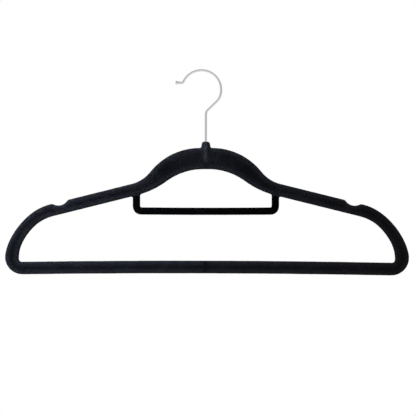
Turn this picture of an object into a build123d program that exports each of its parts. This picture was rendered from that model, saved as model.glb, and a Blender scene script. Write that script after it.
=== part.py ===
from build123d import *
import os
from math import cos, radians, sin, sqrt

# A slim flocked suit hanger: a moulded core, the velvet flock over it, and a wire swivel hook.
# X runs along the hanger, Y through its thickness, and +Z is up. The origin is the rail seat,
# the point where the inside of the hook crosses the swivel axis.
# Millimetres and degrees.

os.makedirs("parts", exist_ok=True)

# Body thickness
body_thickness = 5.0  # over the flock
flock_depth = 0.5
edge_radius = 1.8  # rounding along every edge, over the flock
corner_rounding = 2.0  # smallest outward corner of the outline

# Arch and arms, upper edge, from the middle outwards
crown_z = -84.9
crown_flat = 7.0  # half of the level stretch under the neck
crown_radius = 69.0
crown_turn = 49.2
flank_length = 5.6
arm_root_radius = 36.7
arm_angle = 14.0  # slope of the arms
arm_length = 93.5  # straight upper edge, strap notch included

# Drop shoulder, outer edge: radius and turn of each stretch, then the round end of the bar
shoulder_arcs = [(57.0, 25.5), (85.0, 24.0), (57.0, 17.0)]
bar_end_radius = 19.2
bar_end_turn = 98.6

# Arch and arms, lower edge
arch_z = -108.0
arch_flat = 3.0
arch_radius = 68.0
arch_turn = 36.5
arch_root_radius = 94.0
lower_arm_length = 96.1
inner_arcs = [(46.3, 32.5), (67.5, 17.0), (37.5, 29.4)]
inner_corner_radius = 3.2
inner_corner_turn = 86.2

# Trouser bar, which is bowed up a little in the middle
bar_top_z = -209.5
bar_bottom_z = -223.0

# Tie bar loop under the arch, thinner than the body, which sags a little in the middle
tie_thickness = 3.6  # over the flock
tie_edge_radius = 1.4
tie_top_z = -151.1
tie_bottom_z = -158.8
tie_sag = 0.5
tie_inner_half = 72.9
tie_outer_half = 80.6
tie_inner_corner = 1.2
tie_outer_corner = 8.8
tie_root_z = -130.0  # the legs run up into the arms to here
tie_root_fillet = 1.6

# Strap notch in each arm
notch_x = 163.8
notch_z = -136.5
notch_radius = 12.3

# Neck, which fades down the faces of the arch as a ridge
neck_top_z = -78.0
neck_top_radius = 4.3
neck_root_z = -86.0
neck_root_radius = 5.0
neck_rounding = 2.0
neck_fillet = 2.0
neck_web_inset = 0.4  # the flat web inside the round neck
ridge_end_z = -103.0
ridge_end_radius = 2.2

# Hook wire
wire_radius = 1.3
bow_radius = 21.95  # on the wire's centreline
bow_offset = -5.1  # bow centre from the swivel axis
bow_start = -25.0
bow_turn = 180.0
heel_radius = 10.0  # closes the bow down to the leaning run
heel_turn = 21.0
knee_radius = 7.0  # from the leaning run to the shank
lip_radius = 2.5  # the tight bend before the tip
lip_turn = 69.0
tip_length = 6.4
tip_end_height = 4.5  # the stamped end is tall and thin
tip_end_thickness = 1.5

# Wire end held in the neck, a free-turning fit
running_clearance = 0.08
shank_end_z = -95.0
bead_z = -91.0
bead_radius = 1.9
bead_height = 1.6
bead_chamfer = 0.4
bore_end_gap = 0.4
flock_hole_radius = 2.0  # bare ring round the wire at the neck's mouth

knee_turn = heel_turn - bow_start  # from the leaning run to straight down
bow_z = -sqrt((bow_radius - wire_radius) ** 2 - bow_offset**2)


def tangent_arcs(start, arcs):
    """Chain clockwise arcs, each tangent to the edge before it."""
    last = start
    for radius, turn in arcs:
        last = JernArc(last @ 1, last % 1, radius, -turn)
    return last


# Side view of the round neck and of the ridge below it
with BuildSketch() as neck_side:
    Polygon(
        (-neck_top_radius, neck_top_z),
        (neck_top_radius, neck_top_z),
        (neck_root_radius, neck_root_z),
        (ridge_end_radius, ridge_end_z),
        (-ridge_end_radius, ridge_end_z),
        (-neck_root_radius, neck_root_z),
        align=None,
    )
    fillet(neck_side.vertices().group_by(Axis.Y)[-1], neck_rounding)

# Outer edge, with a flat web inside the neck
with BuildSketch() as outer_edge:
    with BuildLine():
        flat = Line((0, crown_z), (crown_flat, crown_z))
        crown = JernArc(flat @ 1, flat % 1, crown_radius, -crown_turn)
        flank = PolarLine(crown @ 1, flank_length, direction=crown % 1)
        arm_root = JernArc(flank @ 1, flank % 1, arm_root_radius, crown_turn - arm_angle)
        arm = PolarLine(arm_root @ 1, arm_length, direction=arm_root % 1)
        bar_end = tangent_arcs(arm, shoulder_arcs + [(bar_end_radius, bar_end_turn)])
        TangentArc((0, bar_bottom_z), bar_end @ 1, tangent=(1, 0))
        mirror(about=Plane.YZ)
    make_face()
    offset(neck_side.sketch, amount=-neck_web_inset, mode=Mode.ADD)
    web_roots = outer_edge.vertices().filter_by_position(Axis.X, -neck_root_radius, neck_root_radius)
    fillet(web_roots.filter_by_position(Axis.Y, crown_z - 0.1, crown_z + 0.1), neck_fillet)

# Strap notches, with their tips rounded
with BuildSketch() as notched_edge:
    add(outer_edge.sketch)
    corners = notched_edge.vertices()
    with Locations((-notch_x, notch_z), (notch_x, notch_z)):
        Circle(notch_radius, mode=Mode.SUBTRACT)
    fillet(notched_edge.vertices() - corners, corner_rounding)

# The opening between arms and trouser bar
with BuildSketch() as opening:
    with BuildLine():
        flat = Line((0, arch_z), (arch_flat, arch_z))
        arch = JernArc(flat @ 1, flat % 1, arch_radius, -arch_turn)
        arch_root = JernArc(arch @ 1, arch % 1, arch_root_radius, arch_turn - arm_angle)
        arm = PolarLine(arch_root @ 1, lower_arm_length, direction=arch_root % 1)
        corner = tangent_arcs(arm, inner_arcs + [(inner_corner_radius, inner_corner_turn)])
        TangentArc((0, bar_top_z), corner @ 1, tangent=(1, 0))
        mirror(about=Plane.YZ)
    make_face()

# Tie bar and its two legs, which run up into the arms
with BuildSketch() as tie_loop:
    with BuildLine():
        Line((tie_inner_half, tie_root_z), (tie_outer_half, tie_root_z))
        Line((tie_outer_half, tie_root_z), (tie_outer_half, tie_bottom_z + tie_sag))
        TangentArc((0, tie_bottom_z), (tie_outer_half, tie_bottom_z + tie_sag), tangent=(1, 0))
        Line((tie_inner_half, tie_root_z), (tie_inner_half, tie_top_z + tie_sag))
        TangentArc((0, tie_top_z), (tie_inner_half, tie_top_z + tie_sag), tangent=(1, 0))
        mirror(about=Plane.YZ)
    make_face()
    fillet(tie_loop.vertices().group_by(Axis.Y)[1], tie_inner_corner)
    fillet(tie_loop.vertices().group_by(Axis.Y)[0], tie_outer_corner)

with BuildSketch() as body_face:
    add(notched_edge.sketch)
    add(opening.sketch, mode=Mode.SUBTRACT)

# The tie loop, with the flared roots that its legs have where they meet the arms
with BuildSketch() as tie_face:
    add(body_face.sketch)
    corners = tie_face.vertices()
    add(tie_loop.sketch)
    leg_roots = (tie_face.vertices() - corners).sort_by(Axis.Y)[-4:]
    fillet(leg_roots, tie_root_fillet)
    with BuildSketch(mode=Mode.INTERSECT):
        with Locations((0, tie_root_z)):
            Rectangle(
                2 * (tie_outer_half + tie_root_fillet),
                tie_root_z - tie_bottom_z + tie_root_fillet,
                align=(Align.CENTER, Align.MAX),
            )


def flat_solid(face, thickness, rounding, inset):
    """A flat shape with rounded edges, its surface moved inwards by inset all over."""
    with BuildPart() as plate:
        with BuildSketch(Plane.XZ):
            offset(face, amount=-inset)
        extrude(amount=thickness / 2 - inset, both=True)
        fillet(plate.faces().filter_by(Axis.Y).edges(), rounding - inset)
    return plate.part


def body_solid(inset):
    """The whole body, with its surface moved inwards by inset all over."""
    with BuildPart() as body:
        add(flat_solid(body_face.sketch, body_thickness, edge_radius, inset))
        add(flat_solid(tie_face.sketch, tie_thickness, tie_edge_radius, inset))
        with BuildSketch(Plane.XZ):
            offset(neck_side.sketch, amount=-inset)
            split(bisect_by=Plane.YZ)
        revolve(axis=Axis.Z)
    return body.part


def wire_end_solid(clearance, end_gap):
    """The wire end held in the neck, with its bead, its surface moved outwards by clearance."""
    shank = wire_radius + clearance
    bead = bead_radius + clearance
    bead_half = bead_height / 2 + clearance
    with BuildPart() as wire_end:
        with BuildSketch(Plane.XZ):
            Polygon(
                (0, shank_end_z - end_gap),
                (shank, shank_end_z - end_gap),
                (shank, bead_z - bead_half - bead_chamfer),
                (bead, bead_z - bead_half),
                (bead, bead_z + bead_half),
                (shank, bead_z + bead_half + bead_chamfer),
                (shank, neck_top_z),
                (0, neck_top_z),
                align=None,
            )
        revolve(axis=Axis.Z)
    return wire_end.part


# Moulded core, with the socket that formed round the wire end
with BuildPart() as frame_core:
    add(body_solid(flock_depth))
    add(wire_end_solid(running_clearance, bore_end_gap), mode=Mode.SUBTRACT)
frame_core.part.label = "frame_core"
export_step(frame_core.part, "parts/frame_core.step")

# Flock skin, open round the wire at the neck's mouth
with BuildPart() as velvet_flock:
    add(body_solid(0))
    add(body_solid(flock_depth), mode=Mode.SUBTRACT)
    with BuildSketch(Plane.XY.offset(neck_top_z)):
        Circle(flock_hole_radius)
    extrude(amount=-flock_depth, mode=Mode.SUBTRACT)
velvet_flock.part.label = "velvet_flock"
export_step(velvet_flock.part, "parts/velvet_flock.step")

# Hook: shank, knee, leaning run, bow and lip, with a tip stamped tall and thin
with BuildPart() as swivel_hook:
    with BuildLine(Plane.XZ) as wire_path:
        bow = CenterArc((bow_offset, bow_z), bow_radius, bow_start, bow_turn)
        lip = JernArc(bow @ 1, bow % 1, lip_radius, -lip_turn)
        heel = JernArc(bow @ 0, -(bow % 0), heel_radius, -heel_turn)
        knee_width = knee_radius * (1 - cos(radians(knee_turn)))
        lean_length = ((heel @ 1).X - knee_width) / sin(radians(knee_turn))
        lean = PolarLine(heel @ 1, lean_length, direction=heel % 1)
        knee = JernArc(lean @ 1, lean % 1, knee_radius, knee_turn)
        Line(knee @ 1, (0, neck_top_z))
    with BuildSketch(Plane.XY.offset(neck_top_z)):
        Circle(wire_radius)
    sweep(path=wire_path.wire())
    add(wire_end_solid(0, 0))
    tip = Plane(lip @ 1, x_dir=(0, 1, 0), z_dir=lip % 1)
    with BuildSketch(tip):
        Circle(wire_radius)
    with BuildSketch(tip.offset(tip_length / 2)):
        Ellipse((wire_radius + tip_end_thickness / 2) / 2, (2 * wire_radius + tip_end_height) / 4)
    with BuildSketch(tip.offset(tip_length)):
        Ellipse(tip_end_thickness / 2, tip_end_height / 2)
    loft()
swivel_hook.part.label = "swivel_hook"
export_step(swivel_hook.part, "parts/swivel_hook.step")
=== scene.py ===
import math
import random

import bmesh
import bpy
from mathutils import Matrix, Quaternion, Vector
from mathutils.kdtree import KDTree
from mathutils.noise import fractal


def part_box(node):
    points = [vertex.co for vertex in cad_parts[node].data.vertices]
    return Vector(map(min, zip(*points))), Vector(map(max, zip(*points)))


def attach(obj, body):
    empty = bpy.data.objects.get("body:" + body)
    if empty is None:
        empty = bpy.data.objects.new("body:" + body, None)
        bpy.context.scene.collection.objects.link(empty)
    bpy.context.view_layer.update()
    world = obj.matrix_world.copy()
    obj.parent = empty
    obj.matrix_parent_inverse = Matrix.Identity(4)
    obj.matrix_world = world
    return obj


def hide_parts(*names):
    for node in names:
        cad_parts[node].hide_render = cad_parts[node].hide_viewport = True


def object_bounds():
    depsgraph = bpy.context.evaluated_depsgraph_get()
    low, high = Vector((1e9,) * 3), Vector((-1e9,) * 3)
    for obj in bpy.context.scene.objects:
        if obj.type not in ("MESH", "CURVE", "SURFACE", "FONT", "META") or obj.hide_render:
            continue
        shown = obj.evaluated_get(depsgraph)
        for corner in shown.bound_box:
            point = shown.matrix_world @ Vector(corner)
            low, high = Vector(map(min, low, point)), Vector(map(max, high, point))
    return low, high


# A flocked suit hanger: velvet over a moulded body, and a bright wire hook that turns in its neck.
# Metres. X runs along the hanger, Y towards the back, Z up. The origin is the hook's seat on its rail.

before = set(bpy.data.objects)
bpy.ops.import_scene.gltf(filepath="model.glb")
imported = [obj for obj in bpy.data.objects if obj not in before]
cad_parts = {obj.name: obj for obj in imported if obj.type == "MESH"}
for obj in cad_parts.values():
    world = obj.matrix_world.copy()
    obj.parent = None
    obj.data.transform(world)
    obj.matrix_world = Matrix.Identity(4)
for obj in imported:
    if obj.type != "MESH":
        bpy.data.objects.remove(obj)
cadLow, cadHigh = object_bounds()
print("frame loaded", [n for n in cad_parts])


# ---- small helpers ----

def newPiece(name, bm, body):
    mesh = bpy.data.meshes.new(name)
    bm.to_mesh(mesh)
    bm.free()
    for face in mesh.polygons:
        face.use_smooth = True
    piece = bpy.data.objects.new(name, mesh)
    bpy.context.scene.collection.objects.link(piece)
    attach(piece, body)
    return piece


def dress(piece, material):
    piece.data.materials.clear()
    piece.data.materials.append(material)


def newMaterial(name, values):
    material = bpy.data.materials.new(name)
    material.use_nodes = True
    shader = material.node_tree.nodes["Principled BSDF"]
    for socket, value in values.items():
        shader.inputs[socket].default_value = value
    return material, material.node_tree, shader


# ---- surface grain, shared by every material ----

def makeGrainGroup():
    group = bpy.data.node_groups.new("surfaceGrain", "ShaderNodeTree")
    for name, start in (("Fine Scale", 4000.0), ("Patch Scale", 40.0), ("Patch Stretch", 1.0)):
        socket = group.interface.new_socket(name, in_out="INPUT", socket_type="NodeSocketFloat")
        socket.default_value = start
    for name in ("Fine", "Patch", "Fleck"):
        group.interface.new_socket(name, in_out="OUTPUT", socket_type="NodeSocketFloat")
    nodes, links = group.nodes, group.links
    into = nodes.new("NodeGroupInput")
    out = nodes.new("NodeGroupOutput")
    coords = nodes.new("ShaderNodeTexCoord")
    fine = nodes.new("ShaderNodeTexNoise")
    fine.inputs["Detail"].default_value = 3.0
    fine.inputs["Roughness"].default_value = 0.65
    links.new(coords.outputs["Object"], fine.inputs["Vector"])
    links.new(into.outputs["Fine Scale"], fine.inputs["Scale"])
    links.new(fine.outputs["Fac"], out.inputs["Fine"])
    stretch = nodes.new("ShaderNodeCombineXYZ")
    stretch.inputs["Y"].default_value = 1.0
    stretch.inputs["Z"].default_value = 1.0
    links.new(into.outputs["Patch Stretch"], stretch.inputs["X"])
    scaled = nodes.new("ShaderNodeVectorMath")
    scaled.operation = "MULTIPLY"
    links.new(coords.outputs["Object"], scaled.inputs[0])
    links.new(stretch.outputs["Vector"], scaled.inputs[1])
    patch = nodes.new("ShaderNodeTexNoise")
    patch.inputs["Detail"].default_value = 4.0
    patch.inputs["Roughness"].default_value = 0.6
    patch.inputs["Distortion"].default_value = 0.6
    links.new(scaled.outputs["Vector"], patch.inputs["Vector"])
    links.new(into.outputs["Patch Scale"], patch.inputs["Scale"])
    links.new(patch.outputs["Fac"], out.inputs["Patch"])
    cells = nodes.new("ShaderNodeTexVoronoi")
    cells.inputs["Randomness"].default_value = 1.0
    links.new(coords.outputs["Object"], cells.inputs["Vector"])
    links.new(into.outputs["Fine Scale"], cells.inputs["Scale"])
    fleck = nodes.new("ShaderNodeMapRange")
    fleck.inputs["From Min"].default_value = 0.0
    fleck.inputs["From Max"].default_value = 0.6
    fleck.inputs["To Min"].default_value = 1.0
    fleck.inputs["To Max"].default_value = 0.0
    links.new(cells.outputs["Distance"], fleck.inputs["Value"])
    links.new(fleck.outputs["Result"], out.inputs["Fleck"])
    return group


grainGroup = makeGrainGroup()


def addGrain(tree, fineScale, patchScale, patchStretch=1.0):
    node = tree.nodes.new("ShaderNodeGroup")
    node.node_tree = grainGroup
    node.inputs["Fine Scale"].default_value = fineScale
    node.inputs["Patch Scale"].default_value = patchScale
    node.inputs["Patch Stretch"].default_value = patchStretch
    return node


def addRange(tree, source, low, high, toLow, toHigh):
    node = tree.nodes.new("ShaderNodeMapRange")
    node.inputs["From Min"].default_value = low
    node.inputs["From Max"].default_value = high
    node.inputs["To Min"].default_value = toLow
    node.inputs["To Max"].default_value = toHigh
    tree.links.new(source, node.inputs["Value"])
    return node.outputs["Result"]


def addMix(tree, factor, first, second):
    node = tree.nodes.new("ShaderNodeMix")
    node.data_type = "RGBA"
    tree.links.new(factor, node.inputs["Factor"])
    for socket, value in ((node.inputs["A"], first), (node.inputs["B"], second)):
        if isinstance(value, tuple):
            socket.default_value = (*value, 1.0)
        else:
            tree.links.new(value, socket)
    return node.outputs["Result"]


def addBump(tree, height, strength, distance, before=None):
    node = tree.nodes.new("ShaderNodeBump")
    node.inputs["Strength"].default_value = strength
    node.inputs["Distance"].default_value = distance
    tree.links.new(height, node.inputs["Height"])
    if before is not None:
        tree.links.new(before, node.inputs["Normal"])
    return node.outputs["Normal"]


# ---- materials ----

velvetLook = {
    "sheenRoughness": 0.34,
    "sheenTint": (0.74, 0.78, 0.92, 1.0),
    "deep": (0.0025, 0.0024, 0.0032),  # between the fibres
    "nap": (0.0068, 0.0066, 0.0086),  # fibre tips
    "brushed": (0.0128, 0.0126, 0.0156),  # where the nap lies over
    "edgeSheenColour": (0.0218, 0.0212, 0.0248),  # painted sheen along the edges, lighter where the surface turns away
    "neckHighlight": (0.0400, 0.0385, 0.0425),  # painted highlight down the neck ridge and over the middle of the arch
    "tieShade": (0.0009, 0.0009, 0.0011),  # painted shade over the tie loop and its legs, almost black
    "tieShadeNap": (0.0030, 0.0028, 0.0034),
    "specular": 0.12,
    "tieShadeSpecular": 0.03,
    "sheen": 0.22,
    "tieShadeSheen": 0.05,
    "edgeSheenStrength": 0.75,
    "neckHighlightStrength": 0.9,
    "fibreScale": 3600.0,
    "patchScale": 55.0,
    "fibreBump": (0.55, 0.00018),  # strength and height
    "patchBump": (0.25, 0.0006),
}


def addMask(tree, name, strength):
    source = tree.nodes.new("ShaderNodeAttribute")
    source.attribute_name = name
    return addRange(tree, source.outputs["Fac"], 0.0, 1.0, 0.0, strength)


def makeVelvet():
    look = velvetLook
    material, tree, shader = newMaterial("velvetFlock", {
        "Sheen Roughness": look["sheenRoughness"],
        "Sheen Tint": look["sheenTint"],
    })
    grain = addGrain(tree, look["fibreScale"], look["patchScale"])
    tips = addRange(tree, grain.outputs["Fleck"], 0.2, 0.95, 0.0, 1.0)
    colour = addMix(tree, tips, look["deep"], look["nap"])
    patches = addRange(tree, grain.outputs["Patch"], 0.48, 0.72, 0.0, 0.6)
    colour = addMix(tree, patches, colour, look["brushed"])
    # Painted sheen: a lighter colour along the edges of the body.
    colour = addMix(tree, addMask(tree, "paintedEdgeSheen", look["edgeSheenStrength"]), colour, look["edgeSheenColour"])
    # Painted highlight: lighter down the neck ridge and over the middle of the arch.
    colour = addMix(tree, addMask(tree, "paintedNeckHighlight", look["neckHighlightStrength"]), colour, look["neckHighlight"])
    # Painted shade over the tie loop: near black, with less sheen and specular.
    tieShadeColour = addMix(tree, patches, look["tieShade"], look["tieShadeNap"])
    tieShadeMask = addMask(tree, "paintedTieShade", 1.0)
    colour = addMix(tree, tieShadeMask, colour, tieShadeColour)
    tree.links.new(colour, shader.inputs["Base Color"])
    dull = addRange(tree, tieShadeMask, 0.0, 1.0, look["specular"], look["tieShadeSpecular"])
    tree.links.new(dull, shader.inputs["Specular IOR Level"])
    sheen = addRange(tree, tieShadeMask, 0.0, 1.0, look["sheen"], look["tieShadeSheen"])
    tree.links.new(sheen, shader.inputs["Sheen Weight"])
    rough = addRange(tree, grain.outputs["Patch"], 0.3, 0.7, 0.97, 0.84)
    tree.links.new(rough, shader.inputs["Roughness"])
    fibres = addBump(tree, grain.outputs["Fleck"], *look["fibreBump"])
    nap = addBump(tree, grain.outputs["Patch"], *look["patchBump"], fibres)
    tree.links.new(nap, shader.inputs["Normal"])
    return material


plasticLook = {
    "values": {"Specular IOR Level": 0.45},
    "fineScale": 2500.0,
    "patchScale": 180.0,
    "dark": (0.010, 0.010, 0.012),
    "pale": (0.022, 0.022, 0.025),
    "roughFrom": "Fine",
    "rough": (0.42, 0.6),
    "bump": (0.3, 0.00005),  # strength and height
}

wireLook = {
    "values": {"Metallic": 1.0},
    "fineScale": 1800.0,
    "patchScale": 260.0,
    "dark": (0.63, 0.63, 0.63),
    "pale": (0.72, 0.72, 0.73),
    "roughFrom": "Patch",
    "rough": (0.20, 0.30),
    "bump": (0.05, 0.00002),
}


def makeHard(name, look):
    material, tree, shader = newMaterial(name, look["values"])
    grain = addGrain(tree, look["fineScale"], look["patchScale"])
    colour = addMix(tree, grain.outputs["Patch"], look["dark"], look["pale"])
    tree.links.new(colour, shader.inputs["Base Color"])
    rough = addRange(tree, grain.outputs[look["roughFrom"]], 0.3, 0.7, *look["rough"])
    tree.links.new(rough, shader.inputs["Roughness"])
    tree.links.new(addBump(tree, grain.outputs["Fine"], *look["bump"]), shader.inputs["Normal"])
    return material


velvet = makeVelvet()
corePlastic = makeHard("corePlastic", plasticLook)
brightWire = makeHard("brightWire", wireLook)
print("materials made")


# ---- velvet body ----

# Where the painted highlight lies on the neck ridge and the middle of the arch.
neckHighlightMarks = {
    "ridgeHalf": 0.0024,  # the ridge that runs down from the neck
    "ridgeFoot": -0.1035,
    "ridgeFade": 0.0100,
    "archHalf": 0.030,
    "archFoot": -0.118,
    "archShare": 0.10,
}

velvetBody = {
    "voxel": 0.00076,
    "smoothRounds": 7,
    "smoothFactor": 0.5,
    "edgeGrow": 0.00034,  # makes up for the smoothing, with a little more so that thin parts look full
    "faceGrow": 0.00004,
    "faceFrom": 0.35,  # how squarely a normal has to face Y before it begins to count as a face
    "faceBlend": 0.55,
    # how far in from the outline the painted edge sheen reaches
    "edgeSheenReach": 0.0075,
    "crown": 0.00020,  # the faces swell a little away from the edges
    "crownReach": 0.0065,
    "mouthRadius": 0.0020,  # bare ring of moulding round the wire
    "mouthDepth": 0.0005,
    "neckReach": 0.006,  # the edge that runs round the body starts outside this
    "napHeight": 0.00006,
    "napScale": 330.0,
    "tuftHeight": 0.00003,
    "tieShadeHalf": 0.0815,  # the painted shade of the tie bar and its legs lies inside this box
    "tieShadeTop": -0.1372,
    "tieShadeFade": 0.0014,
    "tieShadeFoot": -0.162,
    "seed": 11,
}


def mergedCopy(nodeName):
    bm = bmesh.new()
    bm.from_mesh(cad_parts[nodeName].data)
    bmesh.ops.remove_doubles(bm, verts=bm.verts, dist=1e-6)
    return bm


def connectedFaces(start):
    found, queue = {start}, [start]
    while queue:
        for edge in queue.pop().edges:
            for face in edge.link_faces:
                if face not in found:
                    found.add(face)
                    queue.append(face)
    return found


def splitCoat():
    # The coat's outside and inside meet only at the wall of the mouth round the wire.
    bm = mergedCopy("velvet_flock")
    reach = velvetBody["mouthRadius"] * 1.02
    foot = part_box("velvet_flock")[1].z - velvetBody["mouthDepth"] * 1.1
    wall = [f for f in bm.faces if all(v.co.xy.length < reach and v.co.z > foot for v in f.verts)]
    bmesh.ops.delete(bm, geom=wall, context="FACES")
    widest = max(bm.verts, key=lambda v: v.co.x)
    outside = connectedFaces(widest.link_faces[0])
    outer, inner = bm.copy(), bm
    marks = {f.index for f in outside}
    outer.faces.ensure_lookup_table()
    bmesh.ops.delete(outer, geom=[f for f in outer.faces if f.index not in marks], context="FACES")
    bmesh.ops.delete(inner, geom=list(outside), context="FACES")
    return outer, inner


def remeshed(bm, voxel):
    mesh = bpy.data.meshes.new("coatRemesh")
    bm.to_mesh(mesh)
    bm.free()
    holder = bpy.data.objects.new("coatRemesh", mesh)
    bpy.context.scene.collection.objects.link(holder)
    remesh = holder.modifiers.new("evenMesh", "REMESH")
    remesh.mode = "VOXEL"
    remesh.voxel_size = voxel
    graph = bpy.context.evaluated_depsgraph_get()
    even = bpy.data.meshes.new_from_object(holder.evaluated_get(graph))
    bm = bmesh.new()
    bm.from_mesh(even)
    bpy.data.objects.remove(holder)
    bpy.data.meshes.remove(mesh)
    bpy.data.meshes.remove(even)
    return bm


def openMouth(bm, inner):
    top = max(v.co.z for v in bm.verts)
    radius, depth = velvetBody["mouthRadius"], velvetBody["mouthDepth"]
    inMouth = [f for f in bm.faces if f.calc_center_median().xy.length < radius
               and f.calc_center_median().z > top - depth]
    bmesh.ops.delete(bm, geom=inMouth, context="FACES")
    rim = [e for e in bm.edges if e.is_boundary]
    for vert in {v for e in rim for v in e.verts}:
        vert.co.xy = vert.co.xy.normalized() * radius
        vert.co.z = top
    lining = bpy.data.meshes.new("coatInside")
    inner.to_mesh(lining)
    inner.free()
    bm.from_mesh(lining)
    bpy.data.meshes.remove(lining)
    loops = [e for e in bm.edges if e.is_boundary]
    bmesh.ops.bridge_loops(bm, edges=loops)
    bmesh.ops.recalc_face_normals(bm, faces=bm.faces)


def outlineTree(bm):
    # Points of the edge that runs round the body, half way through its thickness.
    near, neck = velvetBody["voxel"] * 0.75, velvetBody["neckReach"]
    points = [v.co for v in bm.verts if abs(v.co.y) < near and v.co.xy.length > neck]
    tree = KDTree(len(points))
    for index, point in enumerate(points):
        tree.insert((point.x, 0.0, point.z), index)
    tree.balance()
    return tree


def smoothStep(value):
    value = min(max(value, 0.0), 1.0)
    return value * value * (3.0 - 2.0 * value)


def shapeNap(bm):
    # Swells the faces, roughens the pile, and notes where painted sheen runs along the edges, where painted
    # shade lies over the tie loop and where a painted highlight runs down the neck.
    edges = outlineTree(bm)
    # These three layers hold painted edge sheen, a painted neck highlight and painted tie-loop shade, in
    # that order.
    lift = bm.verts.layers.float.new("paintedEdgeSheen")
    neckHighlight = bm.verts.layers.float.new("paintedNeckHighlight")
    tieShade = bm.verts.layers.float.new("paintedTieShade")
    random.seed(velvetBody["seed"])
    bm.normal_update()
    moved = []
    for vert in bm.verts:
        place = vert.co
        fromEdge = edges.find((place.x, 0.0, place.z))[2]
        swell = smoothStep(fromEdge / velvetBody["crownReach"]) * velvetBody["crown"]
        nap = fractal(place * velvetBody["napScale"], 0.8, 2.0, 3) * velvetBody["napHeight"]
        tuft = random.uniform(-1.0, 1.0) * velvetBody["tuftHeight"]
        flat = smoothStep((abs(vert.normal.y) - velvetBody["faceFrom"]) / velvetBody["faceBlend"])
        grow = velvetBody["edgeGrow"] * (1.0 - flat) + (velvetBody["faceGrow"] + swell) * flat
        moved.append(place + vert.normal * (grow + nap + tuft))
        # Painted sheen: full at the outline, fading inwards.
        vert[lift] = 1.0 - smoothStep(fromEdge / velvetBody["edgeSheenReach"])
        # Painted highlight down the neck ridge.
        vert[neckHighlight] = neckHighlightAt(place)
        # Painted shade over the tie loop.
        vert[tieShade] = tieShadeAt(place)
    for vert, place in zip(bm.verts, moved):
        vert.co = place


def neckHighlightAt(place):
    # Painted highlight, strong down the ridge of the neck, faint over the middle of the arch round it.
    across = math.exp(-(place.x / neckHighlightMarks["ridgeHalf"]) ** 2)
    down = smoothStep((place.z - neckHighlightMarks["ridgeFoot"]) / neckHighlightMarks["ridgeFade"])
    over = math.exp(-(place.x / neckHighlightMarks["archHalf"]) ** 2) if place.z > neckHighlightMarks["archFoot"] else 0.0
    return min(1.0, across * down + neckHighlightMarks["archShare"] * over)


def tieShadeAt(place):
    # Painted shade, full on the tie loop, fading out where its legs run up into the arms.
    if abs(place.x) > velvetBody["tieShadeHalf"] or place.z < velvetBody["tieShadeFoot"]:
        return 0.0
    return smoothStep((velvetBody["tieShadeTop"] - place.z) / velvetBody["tieShadeFade"])


def makeVelvetBody():
    outer, inner = splitCoat()
    rim = [e for e in outer.edges if e.is_boundary]
    bmesh.ops.contextual_create(outer, geom=rim)
    bm = remeshed(outer, velvetBody["voxel"])
    for turn in range(velvetBody["smoothRounds"]):
        bmesh.ops.smooth_vert(bm, verts=bm.verts, factor=velvetBody["smoothFactor"],
                              use_axis_x=True, use_axis_y=True, use_axis_z=True)
    shapeNap(bm)
    openMouth(bm, inner)
    loose = [e for e in bm.edges if not e.is_manifold]
    print("velvet coat", len(bm.verts), "points", sum(len(f.verts) - 2 for f in bm.faces),
          "triangles", len(loose), "open edges")
    piece = newPiece("velvetCoat", bm, "frame")
    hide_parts("velvet_flock")
    dress(piece, velvet)


makeVelvetBody()


# ---- wire hook ----

wireHook = {
    "wireRadius": 0.0013,
    "sides": 28,
    "bowRadius": 0.02195,  # on the wire's middle line
    "bowOffset": -0.0051,
    "bowStart": math.radians(-25.0),
    "bowTurn": math.radians(180.0),
    "heelRadius": 0.010,
    "heelTurn": math.radians(21.0),
    "kneeRadius": 0.007,
    "lipRadius": 0.0025,
    "lipTurn": math.radians(69.0),
    "tipLength": 0.0064,
    "tipHeight": 0.0045,
    "tipThickness": 0.0015,
    "tipRings": 8,
    "beadRadius": 0.0019,
    "beadHeight": 0.0016,
    "beadChamfer": 0.0004,
    "beadMiddle": 0.0040,  # above the wire's lower end
    "stepLength": 0.0009,
}


class WireBender:
    # Carries the ring at the wire's end along runs and bends in the XZ plane.
    def __init__(self, bm, place, heading):
        self.bm = bm
        self.place = place
        self.heading = heading
        ring = bmesh.ops.create_circle(bm, segments=wireHook["sides"], radius=wireHook["wireRadius"])
        self.edges = list({e for v in ring["verts"] for e in v.link_edges})
        bmesh.ops.translate(bm, verts=ring["verts"], vec=place)

    def along(self):
        return Vector((math.cos(self.heading), 0.0, math.sin(self.heading)))

    def ringVerts(self):
        return list({v for e in self.edges for v in e.verts})

    def run(self, length):
        made = bmesh.ops.extrude_edge_only(self.bm, edges=self.edges)["geom"]
        verts = [g for g in made if isinstance(g, bmesh.types.BMVert)]
        fresh = set(verts)
        self.edges = [g for g in made if isinstance(g, bmesh.types.BMEdge) and set(g.verts) <= fresh]
        step = self.along() * length
        bmesh.ops.translate(self.bm, verts=verts, vec=step)
        self.place = self.place + step

    def bend(self, radius, turn):
        side = 1.0 if turn > 0 else -1.0
        inward = Vector((-math.sin(self.heading), 0.0, math.cos(self.heading))) * side
        centre = self.place + inward * radius
        steps = max(4, round(abs(turn) * radius / wireHook["stepLength"]))
        made = bmesh.ops.spin(self.bm, geom=self.edges, cent=centre, axis=(0, -side, 0),
                              angle=abs(turn), steps=steps, use_merge=False)["geom_last"]
        self.edges = [g for g in made if isinstance(g, bmesh.types.BMEdge)]
        self.heading += turn
        self.place = centre - Vector((-math.sin(self.heading), 0.0, math.cos(self.heading))) * side * radius

    def swell(self, wide, tall=None):
        # Sizes the ring across Y and across the plane of the hook.
        tall = wide if tall is None else tall
        turned = Matrix.Rotation(self.heading, 4, "Y") @ Matrix.Translation(-self.place)
        bmesh.ops.scale(self.bm, vec=(1.0, wide, tall), space=turned, verts=self.ringVerts())

    def close(self):
        bmesh.ops.contextual_create(self.bm, geom=self.edges)


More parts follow.
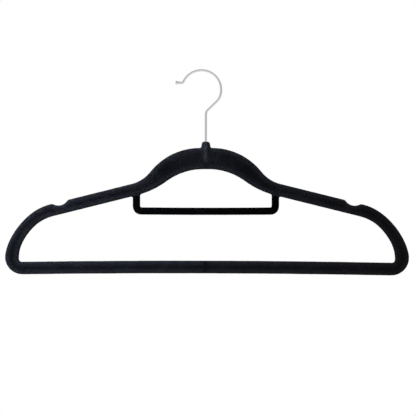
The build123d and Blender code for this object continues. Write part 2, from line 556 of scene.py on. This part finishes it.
def leanLength():
    w = wireHook
    lean = math.pi / 2 + w["bowStart"] - w["heelTurn"]
    bowX = w["bowOffset"] + w["bowRadius"] * math.cos(w["bowStart"])
    heelX = w["heelRadius"] * (math.sin(lean + w["heelTurn"]) - math.sin(lean))
    kneeX = w["kneeRadius"] * (1.0 - math.sin(lean))
    return lean, (bowX - heelX - kneeX) / math.cos(lean)


def kneeHeight():
    w = wireHook
    lean, length = leanLength()
    bowMiddle = -math.sqrt((w["bowRadius"] - w["wireRadius"]) ** 2 - w["bowOffset"] ** 2)
    bowZ = bowMiddle + w["bowRadius"] * math.sin(w["bowStart"])
    heelZ = w["heelRadius"] * (math.cos(lean) - math.cos(lean + w["heelTurn"]))
    return bowZ - heelZ - length * math.sin(lean) - w["kneeRadius"] * math.cos(lean)


def makeWireHook():
    w = wireHook
    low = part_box("swivel_hook")[0].z
    bm = bmesh.new()
    wire = WireBender(bm, Vector((0.0, 0.0, low)), math.pi / 2)
    wire.close()
    bead = w["beadRadius"] / w["wireRadius"]
    wire.run(w["beadMiddle"] - w["beadHeight"] / 2 - w["beadChamfer"])
    wire.run(w["beadChamfer"])
    wire.swell(bead)
    wire.run(w["beadHeight"])
    wire.run(w["beadChamfer"])
    wire.swell(1.0 / bead)
    wire.run(kneeHeight() - wire.place.z)
    lean, length = leanLength()
    wire.bend(w["kneeRadius"], lean - math.pi / 2)
    wire.run(length)
    wire.bend(w["heelRadius"], w["heelTurn"])
    wire.bend(w["bowRadius"], w["bowTurn"])
    wire.bend(w["lipRadius"], -w["lipTurn"])
    wide, tall = 1.0, 1.0
    for ring in range(1, w["tipRings"] + 1):
        spread = (ring / w["tipRings"]) ** 1.5
        wire.run(w["tipLength"] / w["tipRings"] * 0.97)
        nextWide = 1.0 + spread * (w["tipThickness"] / 2 / w["wireRadius"] - 1.0)
        nextTall = 1.0 + spread * (w["tipHeight"] / 2 / w["wireRadius"] - 1.0)
        wire.swell(nextWide / wide, nextTall / tall)
        wide, tall = nextWide, nextTall
    wire.run(w["tipLength"] * 0.03)
    wire.swell(0.82, 0.92)
    wire.close()
    bmesh.ops.recalc_face_normals(bm, faces=bm.faces)
    print("wire hook", len(bm.faces), "faces, ends at", [round(c, 5) for c in wire.place])
    piece = newPiece("wireHook", bm, "hook")
    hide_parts("swivel_hook")
    dress(piece, brightWire)


makeWireHook()
dress(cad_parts["frame_core"], corePlastic)


# ---- stage, lights and camera ----

stage = {
    "floorRadius": 9.0,
    "floorDrop": 1.1,  # below the hanger's lowest point
    "paper": (1.0, 1.0, 1.0, 1.0),  # as the camera and the bright wire see it
    "shade": (0.30, 0.30, 0.30),  # as it lights the velvet, whose undersides stay dark
    "shadeLight": (0.36, 0.36, 0.36),
}


def makeFloor():
    bm = bmesh.new()
    bmesh.ops.create_circle(bm, cap_ends=True, segments=96, radius=stage["floorRadius"])
    bmesh.ops.translate(bm, verts=bm.verts, vec=(0, 0, cadLow.z - stage["floorDrop"]))
    mesh = bpy.data.meshes.new("floor")
    bm.to_mesh(mesh)
    bm.free()
    floor = bpy.data.objects.new("floor", mesh)
    bpy.context.scene.collection.objects.link(floor)
    material, tree, shader = newMaterial("paleFloor", {"Roughness": 0.9})
    grain = addGrain(tree, 300.0, 6.0)
    colour = addMix(tree, grain.outputs["Patch"], stage["shade"], stage["shadeLight"])
    tree.links.new(colour, shader.inputs["Base Color"])
    seen = tree.nodes.new("ShaderNodeEmission")
    seen.inputs["Color"].default_value = stage["paper"]
    path = tree.nodes.new("ShaderNodeLightPath")
    mix = tree.nodes.new("ShaderNodeMixShader")
    tree.links.new(path.outputs["Is Diffuse Ray"], mix.inputs["Fac"])
    tree.links.new(seen.outputs["Emission"], mix.inputs[1])
    tree.links.new(shader.outputs["BSDF"], mix.inputs[2])
    tree.links.new(mix.outputs["Shader"], tree.nodes["Material Output"].inputs["Surface"])
    mesh.materials.append(material)


# Aims are measured from the middle of the hanger, sizes across and up, spreads in degrees.
lamps = {
    "keyLight": {
        "place": (-0.60, -0.46, 0.10),
        "aim": (-0.20, 0.0, 0.0),
        "size": (0.4, 0.5),
        "power": 1.18,
        "colour": (0.61, 0.75, 1.0),
        "spread": 36.0,
    },
    "fillLight": {
        "place": (1.0, -0.8, 0.0),
        "aim": (0.0, 0.0, 0.0),
        "size": (0.6, 0.9),
        "power": 0.80,
        "colour": (1.0, 0.70, 0.06),
        "spread": 180.0,
    },
    "topLight": {
        "place": (-0.2, 0.2, 1.3),
        "aim": (0.0, 0.0, 0.0),
        "size": (1.2, 0.8),
        "power": 2.6,
        "colour": (1.0, 0.95, 0.86),
        "spread": 180.0,
    },
}


def makeLamps():
    # The wire doesn't mirror the lamps, only the plain room.
    middle = (cadLow + cadHigh) / 2
    for name, lamp in lamps.items():
        data = bpy.data.lights.new(name, "AREA")
        data.spread = math.radians(lamp["spread"])
        data.shape = "RECTANGLE"
        data.size, data.size_y = lamp["size"]
        data.energy = lamp["power"]
        data.color = lamp["colour"]
        holder = bpy.data.objects.new(name, data)
        bpy.context.scene.collection.objects.link(holder)
        holder.visible_glossy = False
        holder.location = lamp["place"]
        heading = middle + Vector(lamp["aim"]) - Vector(lamp["place"])
        holder.rotation_mode = "QUATERNION"
        holder.rotation_quaternion = heading.to_track_quat("-Z", "Y")


room = {
    "bright": (-0.35, 0.85, 0.10),  # the side that the light comes from, behind the hanger
    "velvetRange": (-0.7, 0.9),
    "velvetLight": (0.03, 0.68),
    "wireFront": (-0.10, 0.95, -0.25),  # the wire mirrors a dim camera side and a bright sweep
    "wireRange": (-0.9, -0.1),
    "wireLight": (0.80, 1.0),
}


def addRoomLight(tree, coords, brightSide, across, light):
    towards = tree.nodes.new("ShaderNodeVectorMath")
    towards.operation = "DOT_PRODUCT"
    towards.inputs[1].default_value = brightSide
    tree.links.new(coords.outputs["Generated"], towards.inputs[0])
    shown = tree.nodes.new("ShaderNodeBackground")
    strength = addRange(tree, towards.outputs["Value"], *across, *light)
    tree.links.new(strength, shown.inputs["Strength"])
    return shown.outputs["Background"]


def makeWorld():
    world = bpy.data.worlds.new("studio")
    bpy.context.scene.world = world
    world.use_nodes = True
    tree = world.node_tree
    tree.nodes.clear()
    out = tree.nodes.new("ShaderNodeOutputWorld")
    coords = tree.nodes.new("ShaderNodeTexCoord")
    velvetRoom = addRoomLight(tree, coords, room["bright"], room["velvetRange"], room["velvetLight"])
    wireRoom = addRoomLight(tree, coords, room["wireFront"], room["wireRange"], room["wireLight"])
    seen = tree.nodes.new("ShaderNodeBackground")
    seen.inputs["Color"].default_value = (1.0, 1.0, 1.0, 1.0)
    path = tree.nodes.new("ShaderNodeLightPath")
    lit = tree.nodes.new("ShaderNodeMixShader")
    tree.links.new(path.outputs["Is Diffuse Ray"], lit.inputs["Fac"])
    tree.links.new(wireRoom, lit.inputs[1])
    tree.links.new(velvetRoom, lit.inputs[2])
    shown = tree.nodes.new("ShaderNodeMixShader")
    tree.links.new(path.outputs["Is Camera Ray"], shown.inputs["Fac"])
    tree.links.new(lit.outputs["Shader"], shown.inputs[1])
    tree.links.new(seen.outputs["Background"], shown.inputs[2])
    tree.links.new(shown.outputs["Shader"], out.inputs["Surface"])


camera = {
    "aim": (0.0025, 0.0, -0.1512),
    "azimuth": 1.83,
    "elevation": -2.14,
    "roll": 0.113,
    "distance": 1.0,
    "lens": 78.36,
    "sensorWidth": 36.0,
}


def makeCamera():
    data = bpy.data.cameras.new("camera")
    data.lens = camera["lens"]
    data.sensor_width = camera["sensorWidth"]
    data.clip_start = 0.01
    data.clip_end = 50.0
    cam = bpy.data.objects.new("camera", data)
    bpy.context.scene.collection.objects.link(cam)
    turn, lift = math.radians(camera["azimuth"]), math.radians(camera["elevation"])
    back = Vector((math.sin(turn) * math.cos(lift), -math.cos(turn) * math.cos(lift), math.sin(lift)))
    cam.location = Vector(camera["aim"]) + back * camera["distance"]
    cam.rotation_mode = "QUATERNION"
    roll = Quaternion((0, 0, 1), math.radians(camera["roll"]))
    cam.rotation_quaternion = (-back).to_track_quat("-Z", "Y") @ roll
    bpy.context.scene.camera = cam


makeFloor()
makeWorld()
makeLamps()
makeCamera()
bpy.context.scene.view_settings.view_transform = "Standard"
bpy.context.scene.view_settings.look = "None"
print("stage set")
